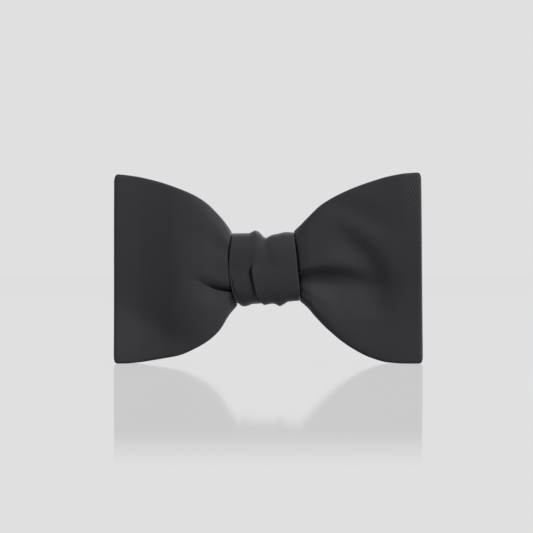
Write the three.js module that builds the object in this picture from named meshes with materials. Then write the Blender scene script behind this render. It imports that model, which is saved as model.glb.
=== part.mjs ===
// A pre-tied bow tie in dark twill: two folded loops of cloth, the knot round their gathered middle, and
// the clip behind it. Millimetres: +X is the viewer's right, -Y is the front and +Z is up. The bow stands
// on the lower edges of its loops. Y is measured from the middle of the loops until the whole bow is
// centred at the end.

import * as THREE from 'three';

// Driving dimensions
const halfSpan = 60; // from the middle of the knot to the fold down a wing's outer edge
const clothWall = 1.5; // the wings' cloth with its interlining
const fitGap = 0.3; // clear space between pieces that touch on the real bow
const cornerRadius = 1.8; // corners of the wings, seen from the front
const rollPower = 7; // how late a leaf starts to turn in towards its top and bottom edges
const outerFoldSteps = 8; // ribs round the fold down a wing's outer edge
const wingRows = 19; // points up a rib
const bowPowers = { bottom: 5, top: 2 }; // how late a rib's bow starts, from either end of it
const narrowestFold = 1.4; // half width

const knotMiddle = 36.9; // heights
const knotHeight = { top: 50.4, bottom: 23.0 }; // away from the uneven edges that its top and bottom show
const knotFront = 10; // half depths of the knot's outside
const knotBack = 7.8;
const knotSquareness = 3.2; // power of the superellipse round the knot, where 2 is an ellipse
const knotHollow = { middle: 36.85, halfHeight: 11.25, front: 7.8, back: 5.7, squareness: 4 };
const knotEdgeRadius = 0.5;
const tuckWidth = 0.5; // from the low side of the knot's tuck to its high side
const turnSteps = 44; // points round the knot

const clipWidth = 14;
const clipThickness = 1.2;
const clipThroat = 4.6;
const clipPlateFoot = 26; // heights
const clipBend = 44;
const clipLegFoot = 27;
const clipLip = { height: 3, reach: 1.5 };

// A short table: the names of its columns, then its rows.
function table(columns, ...rows) {
  return rows.map((row) => Object.fromEntries(columns.map((column, i) => [column, row[i]])));
}

// The wings' ribs, from the end inside the knot to the outer fold. A rib goes up the cloth from
// (bottomOut, bottom) to (topOut, top), where out is the distance from the middle of the knot, and bow is
// how much further out its middle is. front and back are the depths of the two leaves there, and roll is
// the part of that depth by which their top and bottom edges turn in.
const ribColumns = ['topOut', 'top', 'bottomOut', 'bottom', 'front', 'back', 'roll', 'bow'];
const leftRibs = table(
  ribColumns,
  [0.5, 47.2, 0.5, 26.3, 4.6, 4.2, 0.45, 0], // inner end
  [7.0, 47.5, 6.0, 26.2, 5.4, 4.7, 0.5, 1.2],
  [14.45, 47.5, 14.15, 26.1, 6.7, 5.0, 0.52, 1.0], // mouth of the knot
  [14.45, 50.6, 12.9, 23.3, 7.4, 5.2, 0.55, 2.0], // flare just outside it
  [14.65, 51.4, 12.6, 22.3, 8.7, 5.5, 0.55, 2.3],
  [17.4, 55.5, 15.2, 18.4, 8.8, 6.2, 0.34, 2.2],
  [20.4, 58.8, 18.8, 12.9, 8.9, 7.0, 0.24, 1.6],
  [23.5, 61.8, 23.5, 8.6, 9.0, 7.5, 0.2, 0.9],
  [28.1, 64.9, 28.1, 5.9, 8.8, 7.9, 0.16, 0.3],
  [34.4, 67.7, 34.4, 3.2, 8.0, 8.0, 0.12, 0],
  [42.2, 70.4, 42.2, 1.7, 6.3, 7.6, 0.08, 0],
  [50.4, 72.4, 50.5, 0.4, 5.3, 6.4, 0.04, 0],
  [55.5, 73.15, 55.5, 0, 5.2, 5.8, 0, 0],
  [58.9, 73.45, 58.9, 0, 5.2, 5.2, 0, 0], // start of the outer fold
  [halfSpan, 73.5, halfSpan, 0, 4.6, 4.6, 0, 0], // outer fold
);
const rightRibs = table(
  ribColumns,
  [0.5, 47.2, 0.5, 26.3, 4.6, 4.2, 0.45, 0],
  [5.0, 47.5, 6.0, 26.2, 5.4, 4.7, 0.5, 0.2],
  [10.45, 47.6, 12.5, 26.1, 6.7, 5.0, 0.52, 0.25],
  [10.25, 50.9, 12.65, 24.1, 7.5, 5.2, 0.55, 0.35],
  [10.65, 51.7, 13.1, 23.7, 8.6, 5.5, 0.55, 0.35],
  [12.6, 53.8, 15.4, 21.4, 9.0, 5.9, 0.4, 0.3],
  [15.5, 56.8, 17.7, 18.7, 9.2, 6.5, 0.3, 0.2],
  [20.1, 61.2, 21.7, 14.4, 9.2, 7.1, 0.24, 0],
  [23.6, 63.5, 24.8, 11.6, 9.1, 7.5, 0.2, 0],
  [27.9, 65.8, 27.9, 9.0, 8.9, 7.9, 0.16, 0],
  [32.6, 67.9, 32.6, 5.8, 8.7, 8.0, 0.12, 0],
  [39.5, 70.4, 39.5, 2.3, 8.5, 7.8, 0.08, 0],
  [46.6, 72.5, 46.6, 0.4, 8.5, 7.2, 0.04, 0],
  [53.5, 73.7, 53.5, 0, 8.5, 6.6, 0, 0],
  [58.2, 74.0, 58.7, 0, 8.5, 6.0, 0, 0],
  [halfSpan - 0.6, 74.0, halfSpan, 0, 7.6, 5.4, 0, 0],
);

// Folds in the leaves. Each is a valley along a path of (out, height) points. depth, left and right hold
// values spread evenly along the path: how deep it is, and its half widths to the left and right of the
// way that it runs. walls holds the powers of its left and right walls: 2 is an even curve, more a flatter
// bottom between steeper walls, and less a sharper crease. A depth below nought makes a ridge.
const leftFolds = [
  {
    name: 'dimple out of the knot',
    path: [[10, 27], [15.3, 28.6], [21, 30.9], [27.2, 33.3], [32, 34.8]],
    depth: [3.8, 3.8, 2.4, 0.7, 0],
    left: [2.6, 2.9, 3.4, 4.5],
    right: [0.4, 0.4, 0.8, 2.6],
    walls: [1.5, 4],
  },
  {
    name: 'shoulder of the inner bulge',
    path: [[43, 68], [39, 58], [36.5, 50], [34.8, 40], [33.8, 30], [33.2, 20], [32, 8]],
    depth: [0, -0.6, -1.4, -1.8, -1.8, -1.4],
    left: [10, 12],
    right: [12, 12],
    walls: [1.8, 1.8],
  },
  {
    name: 'crease behind the lower corner',
    path: [[30, 3], [34.8, 7.7], [42.4, 12.8], [50.9, 18.7], [59, 26]],
    depth: [0.8, 1.6, 1.6, 1],
    left: [7, 9, 12],
    right: [8, 10],
    walls: [1.9, 1.6],
  },
  {
    name: 'lower corner',
    path: [[44, -6], [60, 0]],
    depth: [-2, -2.6],
    left: [13, 15],
    right: [13, 15],
    walls: [1.6, 1.6],
  },
  {
    name: 'upper corner',
    path: [[36, 76], [60, 80]],
    depth: [2, 4.4],
    left: [14, 16],
    right: [14, 16],
    walls: [1.6, 1.6],
  },
  {
    name: 'soft bulge under the dimple',
    path: [[16, 21], [24, 23], [32, 24]],
    depth: [0, -0.6, 0],
    left: [5, 6],
    right: [7, 8],
    walls: [2, 2],
  },
  {
    name: 'gather above the dimple',
    path: [[11, 41], [15, 43], [22, 47], [30, 51]],
    depth: [0.6, 0],
    left: [1.8, 5],
    right: [1.8, 5],
    walls: [2, 2],
  },
];
const rightFolds = [
  {
    name: 'main valley out of the knot',
    path: [[8, 33.6], [16, 35.3], [24, 36.4], [32, 35.6], [38, 33.3]],
    depth: [3, 3.6, 3.6, 1.8, 0],
    left: [2, 2.6, 3.6],
    right: [3, 4.4, 5],
    walls: [3, 2],
  },
  {
    name: 'long slope under it',
    path: [[8, 31.5], [58, 27]],
    depth: [1, 2.2, 2.3, 1.7, 1],
    left: [2.2, 5, 6, 8, 12],
    right: [5, 14, 22, 22, 20],
    walls: [2, 1.8],
  },
  {
    name: 'crescent above it',
    path: [[25.5, 51.5], [29, 48.2], [34, 43.8], [38.6, 38.8], [41.6, 33.2], [42.8, 27], [43, 17]],
    depth: [0.6, 1.8, 2.1, 2, 1.8, 1.3, 0.2],
    left: [4.8, 5.4],
    right: [8, 8, 6],
    walls: [2.2, 1.8],
  },
  {
    name: 'upper corner',
    path: [[48, 80], [62, 83]],
    depth: [1, 3.4],
    left: [12, 13],
    right: [12, 13],
    walls: [1.7, 1.7],
  },
  {
    name: 'soft hollow under the top edge',
    path: [[27, 64], [35, 62], [43.5, 58.8], [53.2, 53.7]],
    depth: [0.7, 0.6],
    left: [4, 6],
    right: [5, 5],
    walls: [2, 2],
  },
  {
    name: 'small crease at the knot foot',
    path: [[11, 29], [13.5, 27.3], [18.2, 23.4], [23, 18.5]],
    depth: [0.8, 0],
    left: [1.2, 3],
    right: [1.2, 3],
    walls: [2, 2],
  },
];
const backFolds = [
  {
    name: 'gather out of the knot behind',
    path: [[8, 37], [16, 37], [26, 38], [38, 40]],
    depth: [2, 0],
    left: [2.4, 8],
    right: [2.4, 8],
    walls: [2, 2],
  },
];

// The knot's side edges and tuck, by the angle round it from its front middle over its top. step is the
// height of the tuck, where the cloth on the right lies over the cloth on the left.
const knotTurns = table(
  ['turn', 'left', 'tuck', 'right', 'step'],
  [0, -15.4, -6.5, 11.25, 0.5], // front middle
  [10, -15.35, -6.4, 11.15, 0],
  [20, -15.25, -6.3, 11.0, 0],
  [35, -15.05, -6.2, 10.65, 0],
  [60, -14.4, -6.0, 10.1, 0],
  [75, -14.2, -5.8, 9.85, 0],
  [90, -14.15, -5.6, 9.8, 0], // top
  [180, -13.0, -2.0, 10.4, 0], // back middle
  [250, -11.4, -0.6, 11.7, 0],
  [270, -11.5, -1.0, 12.2, 0.5], // bottom
  [285, -12.4, -1.5, 12.2, 0.8],
  [300, -13.2, -3.2, 12.2, 1.0],
  [313, -14.0, -4.9, 12.1, 1.1],
  [328, -14.75, -5.7, 11.85, 1.2],
  [345, -15.3, -6.3, 11.5, 1.2],
);
const knotTop = table(
  ['x', 'height'],
  [-13.9, 50.5],
  [-7.4, 50.6],
  [-6.3, 51.1],
  [-5.1, 51.6],
  [-4.0, 51.3],
  [-2.8, 50.3],
  [-1.7, 49.1],
  [-0.8, 48.7],
  [0.1, 49.2],
  [1.3, 49.8],
  [4.0, 50.4],
  [7.0, 51.0],
  [9.4, 50.9],
);
const knotBottom = table(
  ['x', 'height'],
  [-11.5, 23.0],
  [-10.5, 22.3],
  [-9.3, 22.0],
  [-7.6, 22.4],
  [-6.3, 22.9],
  [-2.3, 23.1],
  [1.4, 23.5],
  [2.9, 23.1],
  [4.5, 22.3],
  [6.1, 23.0],
  [7.7, 24.0],
  [12.2, 24.4],
);
const knotFolds = [
  {
    name: 'soft valley from the notch in the top',
    path: [[-0.8, 50], [-1.2, 45], [0.6, 39.4], [3.3, 34.8]],
    depth: [0.5, 0.35, 0],
    left: [1.4, 2.2],
    right: [1.4, 2.2],
    walls: [2, 2],
  },
  {
    name: 'ridge from the tuck up to the top',
    path: [[-5.6, 34], [-5.6, 38], [-5.2, 44], [-5.2, 50]],
    depth: [0, -0.3, -0.3, 0],
    left: [1.2, 1.2],
    right: [1.6, 1.6],
    walls: [2, 2],
  },
  {
    name: 'fall to the left edge',
    path: [[-16.5, 20], [-16.5, 54]],
    depth: [1.2, 1.2],
    left: [9, 9],
    right: [9, 9],
    walls: [1.5, 1.5],
  },
];
const tuckParts = { low: 0.4, high: 0.6, lowFall: 2.2, highFall: 5 }; // a step's split, and its sides' reach
const leftOfTuck = [0, 0.05, 0.14, 0.3, 0.55, 0.8, 0.92, 1]; // places from the left edge to the tuck
const rightOfTuck = [0, 0.06, 0.16, 0.3, 0.5, 0.7, 0.88, 0.96, 1]; // places from the tuck to the right edge

// A smooth curve through a table's column that never overshoots a row.
function curveThrough(xs, ys) {
  const last = xs.length - 1;
  const gap = (i) => xs[i + 1] - xs[i];
  const rise = (i) => (ys[i + 1] - ys[i]) / gap(i);
  const slopes = xs.map((x, i) => {
    if (i === 0) return rise(0);
    if (i === last) return rise(last - 1);
    if (rise(i - 1) * rise(i) <= 0) return 0;
    const before = 2 * gap(i) + gap(i - 1);
    const after = gap(i) + 2 * gap(i - 1);
    return (before + after) / (before / rise(i - 1) + after / rise(i));
  });
  return (x) => {
    let i = 0;
    while (i < last - 1 && x > xs[i + 1]) i += 1;
    const t = Math.min(Math.max((x - xs[i]) / gap(i), 0), 1);
    const start = ys[i] * (1 + 2 * t) + slopes[i] * gap(i) * t;
    const end = ys[i + 1] * (3 - 2 * t) - slopes[i + 1] * gap(i) * (1 - t);
    return start * (1 - t) ** 2 + end * t ** 2;
  };
}

// One curve for each column of a table, along the column named by key, or along the rows without one.
function tableCurves(rows, key) {
  const xs = rows.map((row, i) => (key ? row[key] : i));
  const curveOf = (column) => curveThrough(xs, rows.map((row) => row[column]));
  return Object.fromEntries(Object.keys(rows[0]).map((column) => [column, curveOf(column)]));
}

// A smooth curve through values spread evenly from 0 to 1.
function spread(values) {
  return curveThrough(values.map((_, i) => i / (values.length - 1)), values);
}

// How deep the folds are at a point of the cloth.
function foldField(folds) {
  const valleys = folds.map((fold) => {
    const curve = new THREE.SplineCurve(fold.path.map(([across, up]) => new THREE.Vector2(across, up)));
    return {
      points: curve.getSpacedPoints(28),
      depth: spread(fold.depth),
      left: spread(fold.left),
      right: spread(fold.right),
      walls: fold.walls,
    };
  });
  return (across, up) => {
    let total = 0;
    for (const valley of valleys) {
      let best = { distance: Infinity };
      for (let i = 0; i + 1 < valley.points.length; i += 1) {
        const from = valley.points[i];
        const step = valley.points[i + 1].clone().sub(from);
        const reach = new THREE.Vector2(across, up).sub(from);
        const t = Math.min(Math.max(reach.dot(step) / step.lengthSq(), 0), 1);
        const off = reach.sub(step.clone().multiplyScalar(t));
        const distance = off.length();
        if (distance < best.distance) {
          const turned = step.cross(off) / (step.length() * Math.max(distance, 1e-6));
          best = { distance, along: (i + t) / (valley.points.length - 1), onLeft: (turned + 1) / 2 };
        }
      }
      const width = THREE.MathUtils.lerp(valley.right(best.along), valley.left(best.along), best.onLeft);
      const wall = THREE.MathUtils.lerp(valley.walls[1], valley.walls[0], best.onLeft);
      const reached = (best.distance / Math.max(width, narrowestFold)) ** wall;
      total += valley.depth(best.along) * Math.exp(-reached);
    }
    return total;
  };
}

// How far an edge of the given radius has dropped at a distance from its end.
function roundedDrop(distance, radius) {
  const inside = Math.min(Math.max(radius - distance, 0), radius);
  return radius - Math.sqrt(radius ** 2 - inside ** 2);
}

// One closed body from two matching grids of points, the skin outside and the skin inside, with rims to
// join them. A looped body's last rib joins its first.
function shell(outside, inside, looped = false) {
  const ribs = outside.length;
  const rows = outside[0].length;
  const at = (skin, rib, row) => (skin * ribs + (rib % ribs)) * rows + row;
  const faces = [];
  const quad = (a, b, c, d) => faces.push(a, b, c, a, c, d);
  for (let rib = 0; rib < (looped ? ribs : ribs - 1); rib += 1) {
    for (let row = 0; row + 1 < rows; row += 1) {
      quad(at(0, rib, row), at(0, rib + 1, row), at(0, rib + 1, row + 1), at(0, rib, row + 1));
      quad(at(1, rib, row), at(1, rib, row + 1), at(1, rib + 1, row + 1), at(1, rib + 1, row));
    }
    quad(at(0, rib, 0), at(1, rib, 0), at(1, rib + 1, 0), at(0, rib + 1, 0));
    quad(at(0, rib, rows - 1), at(0, rib + 1, rows - 1), at(1, rib + 1, rows - 1), at(1, rib, rows - 1));
  }
  if (!looped) {
    for (let row = 0; row + 1 < rows; row += 1) {
      quad(at(0, 0, row), at(0, 0, row + 1), at(1, 0, row + 1), at(1, 0, row));
      quad(at(0, ribs - 1, row), at(1, ribs - 1, row), at(1, ribs - 1, row + 1), at(0, ribs - 1, row + 1));
    }
  }
  const points = [...outside.flat(), ...inside.flat()];
  const geometry = new THREE.BufferGeometry().setFromPoints(points);
  if (volume(points, faces) < 0) faces.reverse();
  geometry.setIndex(faces);
  geometry.computeVertexNormals();
  return geometry;
}

// Volume inside a closed mesh, below nought where its faces point in.
function volume(points, faces) {
  let total = 0;
  for (let i = 0; i < faces.length; i += 3) {
    const [a, b, c] = [points[faces[i]], points[faces[i + 1]], points[faces[i + 2]]];
    total += a.dot(new THREE.Vector3().crossVectors(b, c)) / 6;
  }
  return total;
}

// Where a wing's ribs stand: s counts the rows of its table, and turn goes from 1 on the front leaf,
// through the outer fold, to -1 on the back leaf.
function ribPlaces(rows) {
  const foldStart = rows.length - 2;
  const places = [];
  for (let s = 0; s < foldStart; s += 0.5) places.push({ s, turn: 1 });
  for (let i = 0; i <= outerFoldSteps; i += 1) {
    const angle = (Math.PI * i) / outerFoldSteps;
    places.push({ s: foldStart + Math.sin(angle), turn: Math.cos(angle) });
  }
  for (let s = foldStart - 1; s >= 0; s -= 1) places.push({ s, turn: -1 });
  return places;
}

// A wing: side is -1 for the left one and 1 for the right one.
function wingGeometry(side, rows, folds) {
  const rib = tableCurves(rows);
  const tip = rows[rows.length - 1];
  const frontFold = foldField(folds);
  const backFold = foldField(backFolds);
  const outside = ribPlaces(rows).map(({ s, turn }) => {
    const topOut = rib.topOut(s);
    const bottomOut = rib.bottomOut(s);
    const top = rib.top(s) - roundedDrop(tip.topOut - topOut, cornerRadius);
    const bottom = rib.bottom(s) + roundedDrop(tip.bottomOut - bottomOut, cornerRadius);
    return Array.from({ length: wingRows }, (_, row) => {
      const up = row / (wingRows - 1);
      const bowed = rib.bow(s) * (1 - Math.abs(2 * up - 1) ** (up < 0.5 ? bowPowers.bottom : bowPowers.top));
      const out = THREE.MathUtils.lerp(bottomOut, topOut, up) + bowed;
      const height = THREE.MathUtils.lerp(bottom, top, up);
      const depth = turn > 0 ? rib.front(s) : rib.back(s);
      const rolled = depth * (1 - rib.roll(s) * Math.abs(2 * up - 1) ** rollPower);
      const fold = turn > 0 ? frontFold(out, height) : backFold(out, height);
      return new THREE.Vector3(side * out, -turn * (rolled - fold), height);
    });
  });
  const inside = outside.map((points, i) => {
    const before = outside[Math.max(i - 1, 0)];
    const after = outside[Math.min(i + 1, outside.length - 1)];
    return points.map((point, row) => {
      const along = after[row].clone().sub(before[row]).setZ(0).normalize();
      const inward = new THREE.Vector3(-along.y, along.x, 0).multiplyScalar(side * clothWall);
      return point.clone().add(inward);
    });
  });
  return shell(outside, inside);
}

// Distance from the middle of a superellipse to its edge, at an angle from its front.
function superellipse(turn, depth, height, squareness) {
  const forward = Math.abs(Math.cos(turn)) / depth;
  const up = Math.abs(Math.sin(turn)) / height;
  return (forward ** squareness + up ** squareness) ** (-1 / squareness);
}

// The knot: a closed ring of cloth round the X axis.
function knotGeometry() {
  const lap = (start) => knotTurns.map((row) => ({ ...row, turn: row.turn + start }));
  const wholeTurns = [-360, 0, 360].flatMap(lap);
  const edge = tableCurves(wholeTurns, 'turn');
  const top = tableCurves(knotTop, 'x').height;
  const bottom = tableCurves(knotBottom, 'x').height;
  const valley = foldField(knotFolds);
  const outside = [];
  const inside = [];
  for (let i = 0; i < turnSteps; i += 1) {
    const degrees = (360 * i) / turnSteps;
    const turn = THREE.MathUtils.degToRad(degrees);
    const here = [edge.left, edge.tuck, edge.right, edge.step];
    const [left, tuck, right, step] = here.map((curve) => curve(degrees));
    const inFront = Math.cos(turn) > 0;
    const uneven = Math.sin(turn) ** 4;
    const place = (x, radius, middle) => {
      return new THREE.Vector3(x, -radius * Math.cos(turn), middle + radius * Math.sin(turn));
    };
    const skin = (x, rise) => {
      const topHeight = THREE.MathUtils.lerp(knotHeight.top, top(x), uneven);
      const bottomHeight = THREE.MathUtils.lerp(knotHeight.bottom, bottom(x), uneven);
      const height = Math.sin(turn) > 0 ? topHeight - knotMiddle : knotMiddle - bottomHeight;
      const whole = superellipse(turn, inFront ? knotFront : knotBack, height, knotSquareness);
      const fold = inFront ? valley(x, knotMiddle + whole * Math.sin(turn)) * Math.cos(turn) : 0;
      const drop = roundedDrop(Math.min(x - left, right - x), knotEdgeRadius);
      return place(x, whole + rise - fold - drop, knotMiddle);
    };
    const lowEdge = tuck - tuckWidth / 2;
    const highEdge = tuck + tuckWidth / 2;
    const low = leftOfTuck.map((part) => {
      const x = THREE.MathUtils.lerp(left, lowEdge, part);
      return skin(x, -step * tuckParts.low * Math.exp(-(lowEdge - x) / tuckParts.lowFall));
    });
    const high = rightOfTuck.map((part) => {
      const x = THREE.MathUtils.lerp(highEdge, right, part);
      return skin(x, step * tuckParts.high * Math.exp(-(x - highEdge) / tuckParts.highFall));
    });
    const hollowDepth = inFront ? knotHollow.front : knotHollow.back;
    const hollow = superellipse(turn, hollowDepth, knotHollow.halfHeight, knotHollow.squareness);
    outside.push([...low, ...high]);
    inside.push([...low, ...high].map((point) => place(point.x, hollow, knotHollow.middle)));
  }
  return shell(outside, inside, true);
}

// The clip: a plate flat against the back of the knot, a bend at its top and a leg down behind it with a lip.
function clipGeometry() {
  const plateFront = knotBack + fitGap;
  const plateBack = plateFront + clipThickness;
  const bendMiddle = plateBack + clipThroat / 2;
  const legFront = plateBack + clipThroat;
  const legBack = legFront + clipThickness;
  const lipTop = clipLegFoot + clipLip.height;
  const profile = new THREE.Shape();
  profile.moveTo(plateFront, clipPlateFoot);
  profile.lineTo(plateFront, clipBend);
  profile.absarc(bendMiddle, clipBend, clipThroat / 2 + clipThickness, Math.PI, 0, true);
  profile.lineTo(legBack, lipTop);
  profile.lineTo(legBack + clipLip.reach, clipLegFoot);
  profile.lineTo(legFront + clipLip.reach, clipLegFoot);
  profile.lineTo(legFront, lipTop);
  profile.lineTo(legFront, clipBend);
  profile.absarc(bendMiddle, clipBend, clipThroat / 2, 0, Math.PI, false);
  profile.lineTo(plateBack, clipPlateFoot);
  profile.closePath();
  const geometry = new THREE.ExtrudeGeometry(profile, {
    depth: clipWidth,
    curveSegments: 12,
    bevelEnabled: false,
  });
  const profileToBow = new THREE.Matrix4().makeBasis(
    new THREE.Vector3(0, 1, 0),
    new THREE.Vector3(0, 0, 1),
    new THREE.Vector3(1, 0, 0),
  );
  return geometry.translate(0, 0, -clipWidth / 2).applyMatrix4(profileToBow);
}

const twill = new THREE.MeshStandardMaterial({ color: 0x2f2f32, roughness: 0.8, metalness: 0 });
const nylon = new THREE.MeshStandardMaterial({ color: 0x18181a, roughness: 0.5, metalness: 0 });

function named(name, geometry, material) {
  const mesh = new THREE.Mesh(geometry, material);
  mesh.name = name;
  return mesh;
}

const bow = new THREE.Group();
bow.add(named('left_wing', wingGeometry(-1, leftRibs, leftFolds), twill));
bow.add(named('right_wing', wingGeometry(1, rightRibs, rightFolds), twill));
bow.add(named('knot', knotGeometry(), twill));
bow.add(named('back_clip', clipGeometry(), nylon));

// Centre the bow's whole depth on Y.
const wholeBox = new THREE.Box3().setFromObject(bow);
bow.position.y = -(wholeBox.min.y + wholeBox.max.y) / 2;

export default bow;
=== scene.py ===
# The looks of a pre-tied bow tie in dark twill: two folded loops of cloth, the knot round their gathered
# middle, and the clip behind it. Sizes are in millimetres unless a comment says metres. +X is the viewer's
# right and -Y the front.

import math
import bmesh
import bpy
import numpy as np
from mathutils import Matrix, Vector


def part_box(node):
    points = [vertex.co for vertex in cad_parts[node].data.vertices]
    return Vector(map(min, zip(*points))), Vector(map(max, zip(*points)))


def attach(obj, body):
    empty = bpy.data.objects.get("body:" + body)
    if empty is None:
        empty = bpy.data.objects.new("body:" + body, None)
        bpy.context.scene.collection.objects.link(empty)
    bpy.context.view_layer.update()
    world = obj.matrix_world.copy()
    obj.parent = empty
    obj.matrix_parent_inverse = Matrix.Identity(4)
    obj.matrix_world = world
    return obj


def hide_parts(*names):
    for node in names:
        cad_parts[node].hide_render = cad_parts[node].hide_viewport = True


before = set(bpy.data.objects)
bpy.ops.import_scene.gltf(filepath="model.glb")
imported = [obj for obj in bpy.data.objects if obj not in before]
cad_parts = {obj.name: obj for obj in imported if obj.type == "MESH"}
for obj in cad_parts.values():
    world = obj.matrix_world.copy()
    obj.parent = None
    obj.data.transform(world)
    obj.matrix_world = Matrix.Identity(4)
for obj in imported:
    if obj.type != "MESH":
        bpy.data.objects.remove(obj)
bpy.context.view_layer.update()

# Driving dimensions
MM = 0.001
half_span = 60.0  # from the middle of the knot to the fold down a wing's outer edge
cloth_wall = 1.5
corner_radius = 1.8  # corners of the wings, seen from the front
roll_power = 7.0  # how late a leaf starts to turn in towards its top and bottom edges
bow_powers = {"bottom": 3.4, "top": 2}  # how late a rib's bow starts, from either end of it
fold_squareness = 4.0  # power of the superellipse that the outer fold follows, where 2 is an ellipse
edge_round = 1.3  # how far the pressed edges of the cloth thin out

knot_middle = 36.9  # height
knot_height = {"top": 50.4, "bottom": 23.0}
knot_front = 10.0  # half depths of the knot's outside
knot_back = 7.8
knot_squareness = 3.2  # power of the superellipse round the knot, where 2 is an ellipse
knot_hollow = {"middle": 36.85, "half_height": 11.25, "front": 7.8, "back": 5.7, "squareness": 4.0}
knot_edge_radius = 0.5
uneven_power = 4  # how closely the uneven edges keep to the knot's top and bottom
fit_gap = 0.3

clip_width = 14.0
clip_thickness = 1.2
clip_throat = 4.6
clip_plate_foot = 26.0  # heights
clip_bend = 44.0
clip_leg_foot = 27.0
clip_lip = {"height": 3.0, "reach": 1.5}
clip_sharp = math.radians(15)  # an edge that turns more than this isn't shaded smooth
clip_bevel = 0.3  # how far the moulding's edges are rounded

# Mesh steps
wing_ribs = 140  # ribs on the front leaf of a wing, with half as many on its back leaf
fold_ribs = 22  # ribs round its outer fold
wing_rows = 176  # rows between the pressed edges
edge_rows = 7  # rows in each pressed edge
crease_share = 0.36  # the part of the rows that stands below the deep crease out of the knot
crease_packed = 8  # rows packed within reach of it, on each side
crease_reach = 0.5  # how far from it they stand
crease_rounds = 3  # rounds of finding where each rib meets it
rib_samples = 4000  # points along a wing that its ribs are spaced out by
path_steps = 28  # straight pieces of a fold's path
path_samples = 20  # points between two given ones that a path's length is measured by
least_distance = 1e-6  # keeps a point on a path from a division by nought
turn_steps = 240  # sections round the knot
tuck_steps = {"edge": 7, "low_side": 48, "dip": 9, "half_turn": 9, "high_side": 44}  # points across it
bend_steps = 28  # round each side of the clip's bend
bevel_steps = 3  # across each rounded edge of the clip

# The camera, level with the middle of the photo's frame
camera_distance = 1200.0
frame_width = 207.4  # what the frame spans at the bow
frame_centre_x = -0.7
frame_centre_z = 37.57
sensor_width = 36.0
camera_reach = 100.0  # how far it sees, in metres

# The mirror image in the floor, by distance in front of the bow
mirror_strength = 0.219
mirror_roughness = 0.055
mirror_fade_start = 480.0
mirror_fade_end = 645.0

# The floor and backdrop, in linear light
backdrop = 0.745
fill_light = 0.15  # the backdrop's strength as a light
floor_glow = 0.97  # the part of the floor's look that is its own glow
floor_bounce = 0.05  # the part of that glow that lights other things
floor_albedo = 0.86
floor_reach = 12.0  # metres

# Soft lights: azimuth from the camera's side towards the viewer's right, elevation, strength, and the angle
# that each fills
soft_lights = [
    {"name": "key", "azimuth": 50, "elevation": 40, "strength": 2.55, "angle": 30},
    {"name": "fill", "azimuth": -50, "elevation": 25, "strength": 0.35, "angle": 90},
    {"name": "back", "azimuth": 150, "elevation": 30, "strength": 1.6, "angle": 60},
]

# A noise texture's values mostly fall between these
noise_low = 0.3
noise_high = 0.7

# Twill. The ridges stray by part of a pitch. A second noise makes patches: the twill is plainest where it is
# low, and its colour shifts most where it is high.
twill_pitch = 0.95
twill_slope = math.radians(64)  # of its ridges to the strip's length, falling to the viewer's right
twill_stray = {"scale": 220, "detail": 2, "most": 0.12}
twill_patches = {"scale": 60, "detail": 4}
twill_plain = {"low": 0.42, "high": 0.6, "most": 0.65}
twill_mottle = {"low": 0.35, "high": 0.65, "most": 0.25, "colour": (0.041, 0.0378, 0.0435, 1)}
faint_yarn = {"groove": (0.0302, 0.0294, 0.0322, 1), "ridge": (0.0344, 0.0336, 0.0368, 1)}
# Up on the right wing the ridges are painted lighter and the grooves darker. These are painted glints off the
# weave, with painted shade between them.
yarn_with_painted_glints = {"groove": (0.011, 0.0105, 0.012, 1), "ridge": (0.062, 0.0603, 0.0665, 1)}
painted_glint_place = {"out": (50, 57), "height": (40, 62)}  # where the twill turns from faint to painted glints on its ridges and painted shade in its grooves, on the right
twill_roughness = {"groove": 0.61, "ridge": 0.58}
twill_specular = 0.15
twill_sheen = {"weight": 0.12, "roughness": 0.4, "tint": (0.86, 0.86, 1.0, 1)}
twill_bump = {"strength": 0.2, "distance": 0.035}

# Nylon
nylon_grain = {"scale": 1800, "detail": 3}
nylon_wear = {"scale": 90, "detail": 4}
nylon_colours = ((0.006, 0.006, 0.007, 1), (0.012, 0.012, 0.0135, 1))
nylon_roughness = (0.38, 0.56)
nylon_bump = {"strength": 0.35, "distance": 0.03}

# The depth of the loops' middle in the frame, from the front of the clip's plate
middle_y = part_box("back_clip")[0].y / MM - knot_back - fit_gap


def table(columns, *rows):
    """A short table: the names of its columns, then its rows. Each column becomes an array."""
    return dict(zip(columns, np.array(rows, float).T))


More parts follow.
